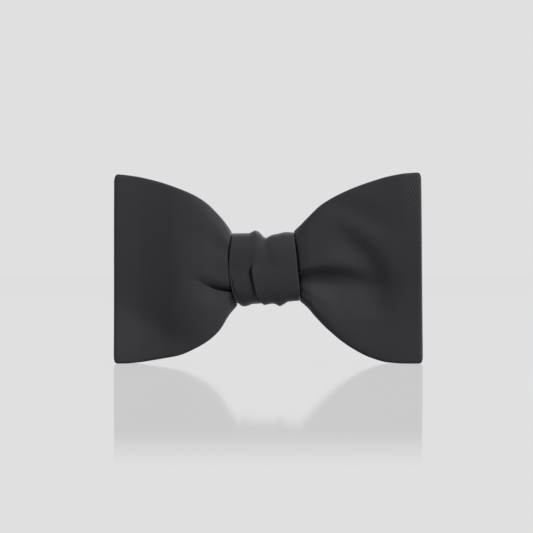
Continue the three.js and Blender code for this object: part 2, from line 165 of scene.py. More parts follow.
# The wings' ribs, from the end inside the knot to the outer fold. A rib goes up the cloth from (bottom_out,
# bottom) to (top_out, top), where out is the distance from the middle of the knot, and bow is how much
# further out its middle is. front and back are the depths of the two leaves there, and roll is the part of
# that depth by which their top and bottom edges turn in.
rib_columns = ["top_out", "top", "bottom_out", "bottom", "front", "back", "roll", "bow"]
left_ribs = table(
    rib_columns,
    [0.5, 47.2, 0.5, 26.3, 4.6, 4.2, 0.45, 0],  # inner end
    [7.0, 47.5, 6.0, 26.2, 5.4, 4.7, 0.5, 1.2],
    [14.3, 47.5, 13.4, 26.0, 6.7, 5.0, 0.52, 1.5],  # mouth of the knot
    [14.2, 50.5, 12.3, 23.4, 7.4, 5.2, 0.55, 2.1],  # flare just outside it
    [14.4, 51.2, 12.1, 22.6, 8.7, 5.5, 0.55, 2.5],
    [17.4, 55.5, 15.4, 18.4, 8.8, 6.2, 0.34, 2.2],
    [20.4, 58.8, 18.8, 12.9, 8.9, 7.0, 0.24, 1.6],
    [23.5, 61.8, 23.5, 8.6, 9.0, 7.5, 0.2, 0.9],
    [28.1, 64.9, 28.1, 5.9, 8.8, 7.9, 0.16, 0.3],
    [34.4, 67.7, 34.4, 3.2, 8.0, 8.0, 0.12, 0],
    [42.2, 70.4, 42.2, 1.7, 6.3, 7.6, 0.08, 0],
    [50.4, 72.4, 50.5, 0.4, 5.3, 6.4, 0.04, 0],
    [55.5, 73.15, 55.5, 0, 5.2, 5.8, 0, 0],
    [58.9, 73.45, 58.9, 0, 5.2, 5.2, 0, 0],  # start of the outer fold
    [half_span, 73.5, half_span, 0, 4.6, 4.6, 0, 0],  # outer fold
)
right_ribs = table(
    rib_columns,
    [0.5, 47.2, 0.5, 26.3, 4.6, 4.2, 0.45, 0],
    [5.0, 47.5, 6.0, 26.2, 5.4, 4.7, 0.5, 0.2],
    [10.3, 47.6, 12.4, 26.1, 6.9, 5.0, 0.52, 0.3],
    [9.9, 50.9, 12.3, 24.2, 7.3, 5.2, 0.55, 0.5],
    [10.2, 51.5, 12.6, 23.9, 8.1, 5.5, 0.55, 0.5],
    [12.6, 53.8, 15.4, 21.4, 8.9, 5.9, 0.4, 0.5],
    [15.5, 56.8, 17.7, 18.7, 9.2, 6.5, 0.3, 0.2],
    [20.1, 61.2, 21.7, 14.4, 9.2, 7.1, 0.24, 0],
    [23.6, 63.5, 24.8, 11.6, 9.1, 7.5, 0.2, 0],
    [27.9, 65.8, 27.9, 9.0, 8.9, 7.9, 0.16, 0],
    [32.6, 67.9, 32.6, 5.8, 8.7, 8.0, 0.12, 0],
    [39.5, 70.4, 39.5, 2.3, 8.5, 7.8, 0.08, 0],
    [46.6, 72.5, 46.6, 0.4, 8.5, 7.2, 0.04, 0],
    [53.5, 73.7, 53.5, 0, 8.5, 6.6, 0, 0],
    [58.2, 74.0, 58.7, 0, 8.5, 6.0, 0, 0],
    [half_span - 0.6, 74.0, half_span, 0, 7.6, 5.4, 0, 0],
)

# Folds in the leaves. Each is a valley along a path of (out, height) points. depth, left and right hold
# values spread evenly along the path: how deep it is, and its half widths to the left and right of the way
# that it runs. walls holds the powers of its left and right walls: 2 is an even curve, more a flatter bottom
# between steeper walls, and less a sharper crease. A depth below nought makes a ridge. A wing's rows are
# packed along the path of its first fold.
dimple_path = [(10, 27.4), (15.7, 27.8), (19.5, 28.4), (24.2, 30.2), (29.3, 32.8), (33, 34.7)]
left_folds = [
    {
        "name": "dimple out of the knot",
        "path": dimple_path,
        "depth": (3.0, 3.0, 2.7, 1.4, 0.2, 0, 0),
        "left": (1.7, 1.8, 2.1, 2.4),
        "right": (0.05, 0.05),
        "walls": (1.6, 4),
    },
    {
        "name": "slope under the dimple",
        "path": dimple_path,
        "depth": (0.7, 0.7, 0.8, 1.1, 1.0, 0.4, 0),
        "left": (1.7, 1.8, 2.1, 2.4),
        "right": (7, 7, 7, 6),
        "walls": (1.6, 1.6),
    },
    {
        "name": "shoulder of the inner bulge",
        "path": [(43, 68), (39, 58), (36.5, 50), (34.8, 40), (33.8, 30), (33.2, 20), (32, 8)],
        "depth": (0, -0.6, -1.4, -1.8, -1.8, -1.4),
        "left": (10, 12),
        "right": (12, 12),
        "walls": (1.8, 1.8),
    },
    {
        "name": "crease behind the lower corner",
        "path": [(30, 3), (34.8, 7.7), (42.4, 12.8), (50.9, 18.7), (59, 26)],
        "depth": (0.8, 1.6, 1.6, 1.0),
        "left": (7, 9, 12),
        "right": (8, 10),
        "walls": (1.9, 1.6),
    },
    {
        "name": "lower corner",
        "path": [(44, -6), (60, 0)],
        "depth": (-2.0, -2.6),
        "left": (13, 15),
        "right": (13, 15),
        "walls": (1.6, 1.6),
    },
    {
        "name": "upper corner",
        "path": [(36, 76), (60, 80)],
        "depth": (2.0, 4.4),
        "left": (14, 16),
        "right": (14, 16),
        "walls": (1.6, 1.6),
    },
    {
        "name": "soft bulge under the dimple",
        "path": [(16, 21), (24, 23), (32, 24)],
        "depth": (0, -0.6, 0),
        "left": (5, 6),
        "right": (7, 8),
        "walls": (2, 2),
    },
    {
        "name": "fall beside the knot's lower end",
        "path": [(14.2, 28.2), (13.9, 26.5), (13.1, 24), (12.2, 21.5)],
        "depth": (0.3, 1.6, 2.4, 2.4),
        "left": (2.4, 2.8),
        "right": (2.4, 2.8),
        "walls": (1.8, 1.8),
    },
    {
        "name": "gather above the dimple",
        "path": [(11, 41), (15, 43), (22, 47), (30, 51)],
        "depth": (0.6, 0),
        "left": (1.8, 5),
        "right": (1.8, 5),
        "walls": (2, 2),
    },
]
right_folds = [
    {
        "name": "main valley out of the knot",
        "path": [
            (8, 33.2), (12, 33.9), (16, 34.3), (21.4, 34.3),
            (26, 33.7), (31, 32.7), (36, 31), (42, 28.4),
        ],
        "depth": (3.0, 3.2, 3.4, 3.4, 2.8, 1.8, 0.8, 0),
        "left": (0.9, 1.5, 2.4, 3.2, 3.6, 4.0),
        "right": (4.4, 8.0, 9.0),
        "walls": (2.2, 2),
    },
    {
        "name": "long slope under it",
        "path": [(8, 31.5), (58, 27)],
        "depth": (1.0, 2.2, 2.3, 1.7, 1.0),
        "left": (2.2, 5, 6, 8, 12),
        "right": (5, 14, 22, 22, 20),
        "walls": (2, 1.8),
    },
    {
        "name": "crescent above it",
        "path": [(25.5, 51.5), (29, 48.2), (34, 43.8), (38.3, 38.8), (40.7, 33.2), (41.8, 27), (42, 17)],
        "depth": (0.6, 1.8, 2.1, 2.0, 1.8, 1.3, 0.2),
        "left": (4.8, 5.4),
        "right": (8, 8, 6),
        "walls": (2.2, 1.8),
    },
    {
        "name": "upper corner",
        "path": [(48, 80), (62, 83)],
        "depth": (1.0, 3.4),
        "left": (12, 13),
        "right": (12, 13),
        "walls": (1.7, 1.7),
    },
    {
        "name": "soft hollow under the top edge",
        "path": [(26, 61.5), (32.5, 59.4), (40.7, 55.9), (50, 51.2)],
        "depth": (0.6, 0.9, 0.7, 0.2),
        "left": (4, 6),
        "right": (5, 5),
        "walls": (2, 2),
    },
    {
        "name": "small crease at the knot foot",
        "path": [(11, 29), (13.5, 27.3), (18.2, 23.4), (23, 18.5)],
        "depth": (0.8, 0),
        "left": (1.2, 3),
        "right": (1.2, 3),
        "walls": (2, 2),
    },
]
back_folds = [
    {
        "name": "gather out of the knot behind",
        "path": [(8, 37), (16, 37), (26, 38), (38, 40)],
        "depth": (2.0, 0),
        "left": (2.4, 8),
        "right": (2.4, 8),
        "walls": (2, 2),
    },
]

# The knot's side edges and tuck, by the angle round it from its front middle over its top. step is the
# height of the tuck, where the cloth on the right lies over the cloth on the left, and gap is the width of
# the dark gap under it.
knot_turns = table(
    ["turn", "left", "tuck", "right", "step", "gap"],
    [0, -15.4, -6.5, 11.25, 0.5, 0.9],  # front middle
    [10, -15.35, -6.4, 11.15, 0, 0.1],
    [20, -15.25, -6.3, 11.0, 0, 0.1],
    [35, -15.05, -6.2, 10.65, 0, 0.1],
    [60, -14.4, -6.0, 10.1, 0, 0.1],
    [75, -14.2, -5.8, 9.9, 0, 0.1],
    [90, -14.15, -5.6, 9.85, 0, 0.1],  # top
    [180, -13.0, -2.0, 10.4, 0, 0.1],  # back middle
    [250, -11.4, -0.6, 11.7, 0, 0.1],
    [270, -11.5, -1.0, 12.2, 0.5, 0.5],  # bottom
    [285, -12.5, -1.8, 12.2, 1.3, 1.0],
    [300, -13.2, -3.2, 12.2, 1.4, 1.0],
    [313, -14.0, -4.9, 12.1, 1.3, 0.9],
    [328, -14.75, -5.7, 11.85, 1.2, 0.9],
    [345, -15.3, -6.3, 11.5, 1.2, 1.5],
)
knot_top = table(
    ["x", "height"],
    [-13.9, 50.5],
    [-7.4, 50.6],
    [-6.3, 51.1],
    [-5.1, 51.6],
    [-4.0, 51.3],
    [-2.8, 50.3],
    [-1.7, 49.1],
    [-0.8, 48.7],
    [0.1, 49.2],
    [1.3, 49.8],
    [4.0, 50.4],
    [7.0, 51.0],
    [9.4, 50.9],
)
knot_bottom = table(
    ["x", "height"],
    [-11.5, 23.0],
    [-10.5, 22.3],
    [-9.3, 22.0],
    [-7.6, 22.4],
    [-6.3, 22.9],
    [-2.3, 23.1],
    [1.4, 23.5],
    [2.9, 23.1],
    [4.5, 22.3],
    [6.1, 23.0],
    [7.7, 24.0],
    [12.2, 24.4],
)
knot_folds = [
    {
        "name": "soft valley from the notch in the top",
        "path": [(-0.8, 50), (-1.2, 45), (0.6, 39.4), (3.3, 34.8)],
        "depth": (0.35, 0.3, 0),
        "left": (1.4, 2.2),
        "right": (1.4, 2.2),
        "walls": (2, 2),
    },
    {
        "name": "ridge from the tuck up to the top",
        "path": [(-5.6, 34), (-5.6, 38), (-5.2, 44), (-5.2, 50)],
        "depth": (0, -0.25, -0.2, 0),
        "left": (1.2, 1.2),
        "right": (1.6, 1.6),
        "walls": (2, 2),
    },
    {
        "name": "fall to the left edge",
        "path": [(-16.5, 20), (-16.5, 54)],
        "depth": (1.2, 1.2),
        "left": (9, 9),
        "right": (9, 9),
        "walls": (1.5, 1.5),
    },
    {
        "name": "hem inside the lower left edge",
        "path": [(-14.6, 33.5), (-14.25, 31.2), (-13.45, 27.8), (-12.0, 24.7)],
        "depth": (0, 0.7, 0.7, 0.4),
        "left": (0.35, 0.35),
        "right": (0.35, 0.35),
        "walls": (2, 2),
    },
]
tuck_parts = {
    "low": 0.4,  # the part of the step by which the cloth on the left is lower
    "high": 0.6,  # the part by which the cloth on the right is higher
    "low_fall": 2.2,  # how far off each of them has dropped to about a third
    "high_fall": 5.0,
    "dip": 0.8,  # depth of the gap for its width
    "lap": 0.9,  # how far the gap runs in under the lip
    "bulge": 0.3,  # how far its back bulges, for half its height
    "lip": 0.8,  # the lip's greatest thickness
    "straight": 0.6,  # how wide the lip's rows are where there is no tuck
}


def lerp(start, end, part):
    return start + (end - start) * part


def smooth_step(x):
    x = np.clip(x, 0, 1)
    return x * x * (3 - 2 * x)


def curve_through(xs, ys):
    """A smooth curve through the points that never overshoots one of them."""
    gaps = np.diff(xs)
    rises = np.diff(ys) / gaps
    slopes = np.concatenate([rises[:1], np.zeros(len(xs) - 2), rises[-1:]])
    for i in range(1, len(xs) - 1):
        if rises[i - 1] * rises[i] > 0:
            before = 2 * gaps[i] + gaps[i - 1]
            after = gaps[i] + 2 * gaps[i - 1]
            slopes[i] = (before + after) / (before / rises[i - 1] + after / rises[i])

    def curve(x):
        i = np.searchsorted(xs[1:-1], x)
        t = np.clip((x - xs[i]) / gaps[i], 0, 1)
        start = ys[i] * (1 + 2 * t) + slopes[i] * gaps[i] * t
        end = ys[i + 1] * (3 - 2 * t) - slopes[i + 1] * gaps[i] * (1 - t)
        return start * (1 - t) ** 2 + end * t**2

    return curve


def table_curves(rows, key=None):
    """One curve for each column of a table, along the column named by key, or along the rows without one."""
    xs = rows[key] if key else np.arange(len(next(iter(rows.values()))), dtype=float)
    return {column: curve_through(xs, values) for column, values in rows.items()}


def smooth_path(points):
    """Evenly spaced points along a smooth curve through the given ones."""
    points = np.array(points, float)
    ahead = np.vstack([points[1:], points[-1:]])
    behind = np.vstack([points[:1], points[:-1]])
    tangents = (ahead - behind) / 2
    t = np.linspace(0, 1, path_samples, endpoint=False)[None, :, None]
    starts, ends = points[:-1, None], points[1:, None]
    start_tangents, end_tangents = tangents[:-1, None], tangents[1:, None]
    curve = (
        starts * (1 + 2 * t) * (1 - t) ** 2
        + start_tangents * t * (1 - t) ** 2
        + ends * t**2 * (3 - 2 * t)
        + end_tangents * t**2 * (t - 1)
    )
    curve = np.vstack([curve.reshape(-1, points.shape[1]), points[-1:]])
    lengths = np.concatenate([[0], np.cumsum(np.linalg.norm(np.diff(curve, axis=0), axis=1))])
    places = np.linspace(0, lengths[-1], path_steps + 1)
    return np.stack([np.interp(places, lengths, column) for column in curve.T], axis=1)


def spread(values, along):
    """Values spread evenly along a path, read at a part of its length."""
    return curve_through(np.linspace(0, 1, len(values)), np.array(values, float))(along)


def fold_field(folds, across, up):
    """How deep the folds are at each point of the cloth."""
    total = np.zeros(across.shape)
    for fold in folds:
        points = smooth_path(fold["path"])
        best = np.full(across.shape, np.inf)
        along = np.zeros(across.shape)
        side = np.zeros(across.shape)
        for i, (start, end) in enumerate(zip(points[:-1], points[1:])):
            step = end - start
            reach_x = across - start[0]
            reach_y = up - start[1]
            t = np.clip((reach_x * step[0] + reach_y * step[1]) / (step @ step), 0, 1)
            off_x = reach_x - t * step[0]
            off_y = reach_y - t * step[1]
            distance = np.hypot(off_x, off_y)
            turned = step[0] * off_y - step[1] * off_x
            turned = turned / (np.hypot(*step) * np.maximum(distance, least_distance))
            nearer = distance < best
            best = np.where(nearer, distance, best)
            along = np.where(nearer, (i + t) / (len(points) - 1), along)
            side = np.where(nearer, (turned + 1) / 2, side)
        width = lerp(spread(fold["right"], along), spread(fold["left"], along), side)
        wall = lerp(fold["walls"][1], fold["walls"][0], side)
        total += spread(fold["depth"], along) * np.exp(-((best / width) ** wall))
    return total


def rounded_drop(distance, radius):
    """How far an edge of the given radius has dropped at a distance from its end."""
    inside = np.clip(radius - distance, 0, radius)
    return radius - np.sqrt(radius**2 - inside**2)


def to_frame(points):
    """From millimetres about the middle of the loops to metres in the CAD frame."""
    return (points + [0, middle_y, 0]) * MM


def link_object(name, data):
    made = bpy.data.objects.new(name, data)
    bpy.context.scene.collection.objects.link(made)
    return made


def link_mesh(name, vertices, faces, corner_uvs):
    """A smooth mesh object from points in millimetres, with its weave's map in metres."""
    mesh = bpy.data.meshes.new(name)
    mesh.from_pydata(to_frame(vertices).tolist(), [], faces)
    weave = mesh.uv_layers.new(name="Weave")
    weave.data.foreach_set("uv", np.asarray(corner_uvs, np.float32).ravel() * MM)
    mesh.polygons.foreach_set("use_smooth", [True] * len(mesh.polygons))
    mesh.validate()
    mesh.update()
    return link_object(name, mesh)


def loft(name, sections, uvs, winding, looped=False):
    """A closed mesh through closed sections. sections holds a ring of points for each, and uvs its map, with
    one more section's map where the body is looped. winding is 1 or -1, the way round that makes its faces
    look outwards."""
    count, ring = sections.shape[:2]
    faces = []
    corner_uvs = []

    def add(corners):
        corners = corners[::winding]
        faces.append([(section % count) * ring + point % ring for section, point in corners])
        corner_uvs.extend(uvs[section, point % ring] for section, point in corners)

    for section in range(count if looped else count - 1):
        for point in range(ring):
            add([(section, point), (section + 1, point), (section + 1, point + 1), (section, point + 1)])
    if not looped:
        for section, way in ((0, 1), (count - 1, -1)):
            for point in range(ring // 2):
                opposite = ring - point
                corners = [point, point + 1, opposite - 1, opposite]
                corners = list(dict.fromkeys((section, corner % ring) for corner in corners))
                if len(corners) > 2:
                    add(corners[::way])
    return link_mesh(name, sections.reshape(-1, 3), faces, corner_uvs)


def rib_places(rib, last):
    """Where a wing's ribs stand. s counts the rows of its table, and turn goes from 1 on the front leaf,
    through the outer fold, to -1 on the back leaf."""
    fold_start = last - 1
    fine = np.linspace(0, fold_start, rib_samples)
    moves = [np.gradient(rib[column](fine)) for column in ("top_out", "top", "bottom_out", "bottom", "front")]
    lengths = np.concatenate([[0], np.cumsum(np.sqrt(sum(move**2 for move in moves)))[1:]])
    leaf = np.interp(np.linspace(0, lengths[-1], wing_ribs, endpoint=False), lengths, fine)
    angle = np.linspace(0, math.pi, fold_ribs)
    outwards = np.sin(angle) ** (2 / fold_squareness)
    forwards = np.sign(np.cos(angle)) * np.abs(np.cos(angle)) ** (2 / fold_squareness)
    back_leaf = leaf[::-2]
    s = np.concatenate([leaf, fold_start + outwards, back_leaf])
    turn = np.concatenate([np.ones(len(leaf)), forwards, -np.ones(len(back_leaf))])
    return s, turn


def crease_rows(rib, s, fold, bottom, top):
    """The parts of each rib's height that its rows stand at, packed closely along a sharp crease."""
    path = np.array(fold["path"])
    up = np.full(len(s), crease_share)
    for _ in range(crease_rounds):
        bowed = rib["bow"](s) * (1 - np.abs(2 * up - 1) ** bow_powers["bottom"])
        out = lerp(rib["bottom_out"](s), rib["top_out"](s), up) + bowed
        up = (np.interp(out, *path.T) - bottom) / (top - bottom)
    near = crease_reach / (top - bottom)
    packed = crease_packed / wing_rows
    count = np.linspace(0, 1, wing_rows + 2)[1:-1]
    marks = [0, crease_share - packed, crease_share + packed, 1]
    places = [[0, middle - reach, middle + reach, 1] for middle, reach in zip(up, near)]
    return np.array([np.interp(count, marks, place) for place in places])


def wing_surface(side, rows, folds):
    """The outer skin of a wing, as a grid of ribs and rows, with the way into the cloth from each rib and
    each point's distance from the nearer edge of the strip."""
    rib = table_curves(rows)
    last = len(rows["top"]) - 1
    s, turn = rib_places(rib, last)
    top_out, bottom_out = rib["top_out"](s), rib["bottom_out"](s)
    top = rib["top"](s) - rounded_drop(rows["top_out"][-1] - top_out, corner_radius)
    bottom = rib["bottom"](s) + rounded_drop(rows["bottom_out"][-1] - bottom_out, corner_radius)
    length = np.hypot(top - bottom, top_out - bottom_out)[:, None]
    edge = edge_round * (1 - np.cos(np.linspace(0, math.pi / 2, edge_rows)))[None, :]
    inner = lerp(edge_round, length - edge_round, crease_rows(rib, s, folds[0], bottom, top))
    from_bottom = np.hstack([np.repeat(edge, len(s), 0), inner, (length - edge)[:, ::-1]])
    up = from_bottom / length
    bow_power = np.where(up < 0.5, bow_powers["bottom"], bow_powers["top"])
    bowed = rib["bow"](s)[:, None] * (1 - np.abs(2 * up - 1) ** bow_power)
    out = lerp(bottom_out[:, None], top_out[:, None], up) + bowed
    height = lerp(bottom[:, None], top[:, None], up)
    front = np.broadcast_to((turn > 0)[:, None], out.shape)
    leaf_depth = np.where(turn > 0, rib["front"](s), rib["back"](s))[:, None]
    rolled = leaf_depth * (1 - rib["roll"](s)[:, None] * np.abs(2 * up - 1) ** roll_power)
    depth = np.where(front, fold_field(folds, out, height), fold_field(back_folds, out, height))
    outer = np.stack([side * out, -turn[:, None] * (rolled - depth), height], axis=2)
    inward = np.stack([-side * np.sqrt(1 - turn**2), turn, np.zeros(len(turn))], axis=1)[:, None]
    return outer, inward, np.minimum(from_bottom, length - from_bottom)


def wing(name, side, rows, folds):
    """A wing of one strip of cloth, from the knot round the outer fold and back to the knot."""
    outer, inward, edge_distance = wing_surface(side, rows, folds)
    half_wall = cloth_wall / 2
    middle = outer + inward * half_wall
    pressed = np.clip(edge_distance / edge_round, 0, 1)
    thickness = (half_wall * np.sqrt(1 - (1 - pressed) ** 2))[:, :, None]
    outside = middle - inward * thickness
    inside = middle + inward * thickness
    rings = np.concatenate([outside, inside[:, -2:0:-1]], axis=1)
    steps = np.linalg.norm(np.diff(outer[:, :, :2], axis=0), axis=2)
    strip = side * np.vstack([np.zeros((1, outer.shape[1])), np.cumsum(steps, axis=0)])
    weave = np.stack([strip, outer[:, :, 2]], axis=2)
    uvs = np.concatenate([weave, weave[:, -2:0:-1]], axis=1)
    return loft(name, rings, uvs, winding=side)


def superellipse(turn, depth, height, squareness):
    """Distance from the middle of a superellipse to its edge, at an angle from its front."""
    forward = np.abs(np.cos(turn)) / depth
    up = np.abs(np.sin(turn)) / height
    return (forward**squareness + up**squareness) ** (-1 / squareness)


def tuck_profile(left, tuck, right, step, gap):
    """Across the knot from its left edge to its right one: x, and the rise of the cloth there. The cloth dips
    into the gap, runs in under the tuck's lip, turns back on itself, rounds the lip's nose and goes on over
    it. Where there is no tuck it runs straight on."""
    lap = smooth_step(gap)
    low = -step * tuck_parts["low"]
    high = step * tuck_parts["high"]
    floor = low - tuck_parts["dip"] * (gap - gap.min())
    under = tuck_parts["lap"]
    nose = np.minimum(tuck_parts["lip"], high - floor) / 2
    quarter = np.linspace(0, math.pi / 2, tuck_steps["edge"])[None, :]
    half = np.linspace(-math.pi / 2, math.pi / 2, tuck_steps["half_turn"])[None, :]
    left_edge = lerp(left, left + knot_edge_radius, 1 - np.cos(quarter))
    low_part = np.linspace(0, 1, tuck_steps["low_side"])[None, 1:]
    low_side = np.hstack([left_edge, lerp(left + knot_edge_radius, tuck - gap, low_part)])
    low_rise = low * np.exp(-(tuck - gap - low_side) / tuck_parts["low_fall"])
    dip_part = np.linspace(0, 1, tuck_steps["dip"])[None, 1:]
    dip_x = lerp(tuck - gap, tuck, dip_part)
    dip_rise = lerp(low, floor, smooth_step(dip_part))
    turn_radius = (high - 2 * nose - floor) / 2
    back_x = under + turn_radius * tuck_parts["bulge"] * np.cos(half)
    back_rise = floor + turn_radius * (1 + np.sin(half))
    lip_x = nose * (1 - np.cos(half))
    lip_rise = high - nose + nose * np.sin(half)
    straight = np.linspace(0, 1, 2 * tuck_steps["half_turn"])[None, :]
    lip_end = lerp(tuck_parts["straight"], nose, lap)
    turn_x = tuck + lerp(straight * tuck_parts["straight"], np.hstack([back_x, lip_x]), lap)
    turn_rise = lerp(lerp(floor, high, straight), np.hstack([back_rise, lip_rise]), lap)
    high_part = np.linspace(0, 1, tuck_steps["high_side"])[None, 1:-1]
    high_side = lerp(tuck + lip_end, right - knot_edge_radius, high_part)
    right_edge = lerp(right, right - knot_edge_radius, 1 - np.cos(quarter[:, ::-1]))
    high_x = np.hstack([high_side, right_edge])
    high_rise = high * np.exp(-(high_x - tuck - lip_end) / tuck_parts["high_fall"])
    x = np.hstack([low_side, dip_x, turn_x, high_x])
    return x, np.hstack([low_rise, dip_rise, turn_rise, high_rise])


def knot(name):
    """The knot: a closed ring of cloth round the X axis."""
    laps = {
        column: np.concatenate([values + lap if column == "turn" else values for lap in (-360, 0, 360)])
        for column, values in knot_turns.items()
    }
    edge = table_curves(laps, "turn")
    top = table_curves(knot_top, "x")["height"]
    bottom = table_curves(knot_bottom, "x")["height"]
    degrees = np.linspace(0, 360, turn_steps, endpoint=False)
    turn = np.radians(degrees)[:, None]
    profile = [edge[column](degrees)[:, None] for column in ("left", "tuck", "right", "step", "gap")]
    left, right = profile[0], profile[2]
    in_front = np.cos(turn) > 0
    x, rise = tuck_profile(*profile)
    uneven = np.sin(turn) ** uneven_power
    top_height = lerp(knot_height["top"], top(x), uneven) - knot_middle
    bottom_height = knot_middle - lerp(knot_height["bottom"], bottom(x), uneven)
    height = np.where(np.sin(turn) > 0, top_height, bottom_height)
    whole = superellipse(turn, np.where(in_front, knot_front, knot_back), height, knot_squareness)
    fold = fold_field(knot_folds, x, knot_middle + whole * np.sin(turn)) * np.cos(turn)
    fold = np.where(in_front, fold, 0)
    drop = rounded_drop(np.minimum(x - left, right - x), knot_edge_radius)
    radius = whole + rise - fold - drop
    hollow_depth = np.where(in_front, knot_hollow["front"], knot_hollow["back"])
    hollow = superellipse(turn, hollow_depth, knot_hollow["half_height"], knot_hollow["squareness"])
    hollow = np.broadcast_to(hollow, x.shape)
    outside = np.stack([x, -radius * np.cos(turn), knot_middle + radius * np.sin(turn)], axis=2)
    inner_x = lerp(left, right, np.linspace(0, 1, x.shape[1])[None, :])
    inner_height = knot_hollow["middle"] + hollow * np.sin(turn)
    inside = np.stack([inner_x, -hollow * np.cos(turn), inner_height], axis=2)
    rings = np.concatenate([outside, inside[:, ::-1]], axis=1)
    around = np.linalg.norm(np.diff(outside[:, x.shape[1] // 2], axis=0), axis=1)
    around = np.concatenate([[0], np.cumsum(around)])
    around = np.append(around, around[-1] + around[1])
    x_looped = np.vstack([x, x[:1]])
    weave = np.stack([np.broadcast_to(around[:, None], x_looped.shape), -x_looped], axis=2)
    uvs = np.concatenate([weave, weave[:, ::-1]], axis=1)
    return loft(name, rings, uvs, winding=-1, looped=True)


def clip_profile():
    """The clip from its side, as points of (depth, height): a plate along the back of the knot, a bend at its
    top and a leg down behind it with a lip."""
    plate_front = knot_back + fit_gap
    plate_back = plate_front + clip_thickness
    bend_middle = plate_back + clip_throat / 2
    leg_front = plate_back + clip_throat
    leg_back = leg_front + clip_thickness
    lip_top = clip_leg_foot + clip_lip["height"]
    half_turn = np.linspace(math.pi, 0, bend_steps + 1)

    def arc(radius):
        depths = bend_middle + radius * np.cos(half_turn)
        heights = clip_bend + radius * np.sin(half_turn)
        return np.stack([depths, heights], axis=1)

    outside = [(plate_front, clip_plate_foot), *arc(clip_throat / 2 + clip_thickness), (leg_back, lip_top)]
    foot = [(leg_back + clip_lip["reach"], clip_leg_foot), (leg_front + clip_lip["reach"], clip_leg_foot)]
    inside = [(leg_front, lip_top), *arc(clip_throat / 2)[::-1], (plate_back, clip_plate_foot)]
    return outside + foot + inside


def moulded_clip(name):
    """The clip, with the edges of its moulding rounded."""
    profile = clip_profile()
    shape = bmesh.new()
    sides = []
    for x in (-clip_width / 2, clip_width / 2):
        points = to_frame(np.array([(x, depth, height) for depth, height in profile]))
        sides.append([shape.verts.new(point) for point in points])
    shape.faces.new(sides[0])
    shape.faces.new(sides[1][::-1])
    for i in range(len(profile)):
        following = (i + 1) % len(profile)
        shape.faces.new([sides[1][i], sides[1][following], sides[0][following], sides[0][i]])
    bmesh.ops.recalc_face_normals(shape, faces=shape.faces)
    sharp = [edge for edge in shape.edges if edge.calc_face_angle() > clip_sharp]
    bmesh.ops.bevel(
        shape, geom=sharp, offset=clip_bevel * MM, segments=bevel_steps, profile=0.5, affect="EDGES"
    )
    mesh = bpy.data.meshes.new(name)
    shape.to_mesh(mesh)
    shape.free()
    mesh.polygons.foreach_set("use_smooth", [True] * len(mesh.polygons))
    mesh.set_sharp_from_angle(angle=clip_sharp)
    return link_object(name, mesh)


class Nodes:
    """Short calls for a node tree."""

    def __init__(self, tree):
        self.tree = tree
        tree.nodes.clear()

    def add(self, kind, **settings):
        node = self.tree.nodes.new(kind)
        for name, value in settings.items():
            setattr(node, name, value)
        return node

    def link(self, start, end):
        self.tree.links.new(start, end)

    def set(self, socket, value):
        if isinstance(value, bpy.types.NodeSocket):
            self.link(value, socket)
        else:
            socket.default_value = value

    def math(self, operation, *values):
        node = self.add("ShaderNodeMath", operation=operation)
        for socket, value in zip(node.inputs, values):
            self.set(socket, value)
        return node.outputs[0]

    def map_range(self, value, from_low, from_high, to_low, to_high, smooth=False):
        node = self.add("ShaderNodeMapRange", interpolation_type="SMOOTHSTEP" if smooth else "LINEAR")
        for name, setting in (
            ("Value", value),
            ("From Min", from_low),
            ("From Max", from_high),
            ("To Min", to_low),
            ("To Max", to_high),
        ):
            self.set(node.inputs[name], setting)
        return node.outputs["Result"]

    def mix_colour(self, part, first, second):
        """Sockets 6 and 7 take a mix node's colours, and output 2 gives the result."""
        node = self.add("ShaderNodeMix", data_type="RGBA")
        self.set(node.inputs[0], part)
        self.set(node.inputs[6], first)
        self.set(node.inputs[7], second)
        return node.outputs[2]

    def noise(self, place, scale, detail):
        node = self.add("ShaderNodeTexNoise")
        self.link(place, node.inputs["Vector"])
        node.inputs["Scale"].default_value = scale
        node.inputs["Detail"].default_value = detail
        return node.outputs["Fac"]

    def bump(self, height, strength, distance):
        node = self.add("ShaderNodeBump")
        node.inputs["Strength"].default_value = strength
        node.inputs["Distance"].default_value = distance * MM
        self.link(height, node.inputs["Height"])
        return node.outputs["Normal"]


def grey(value):
    return (value, value, value, 1)


def new_material(name):
    """A material with an empty node tree, its nodes, and its output's socket."""
    material = bpy.data.materials.new(name)
    material.use_nodes = True
    nodes = Nodes(material.node_tree)
    return material, nodes, nodes.add("ShaderNodeOutputMaterial").inputs["Surface"]


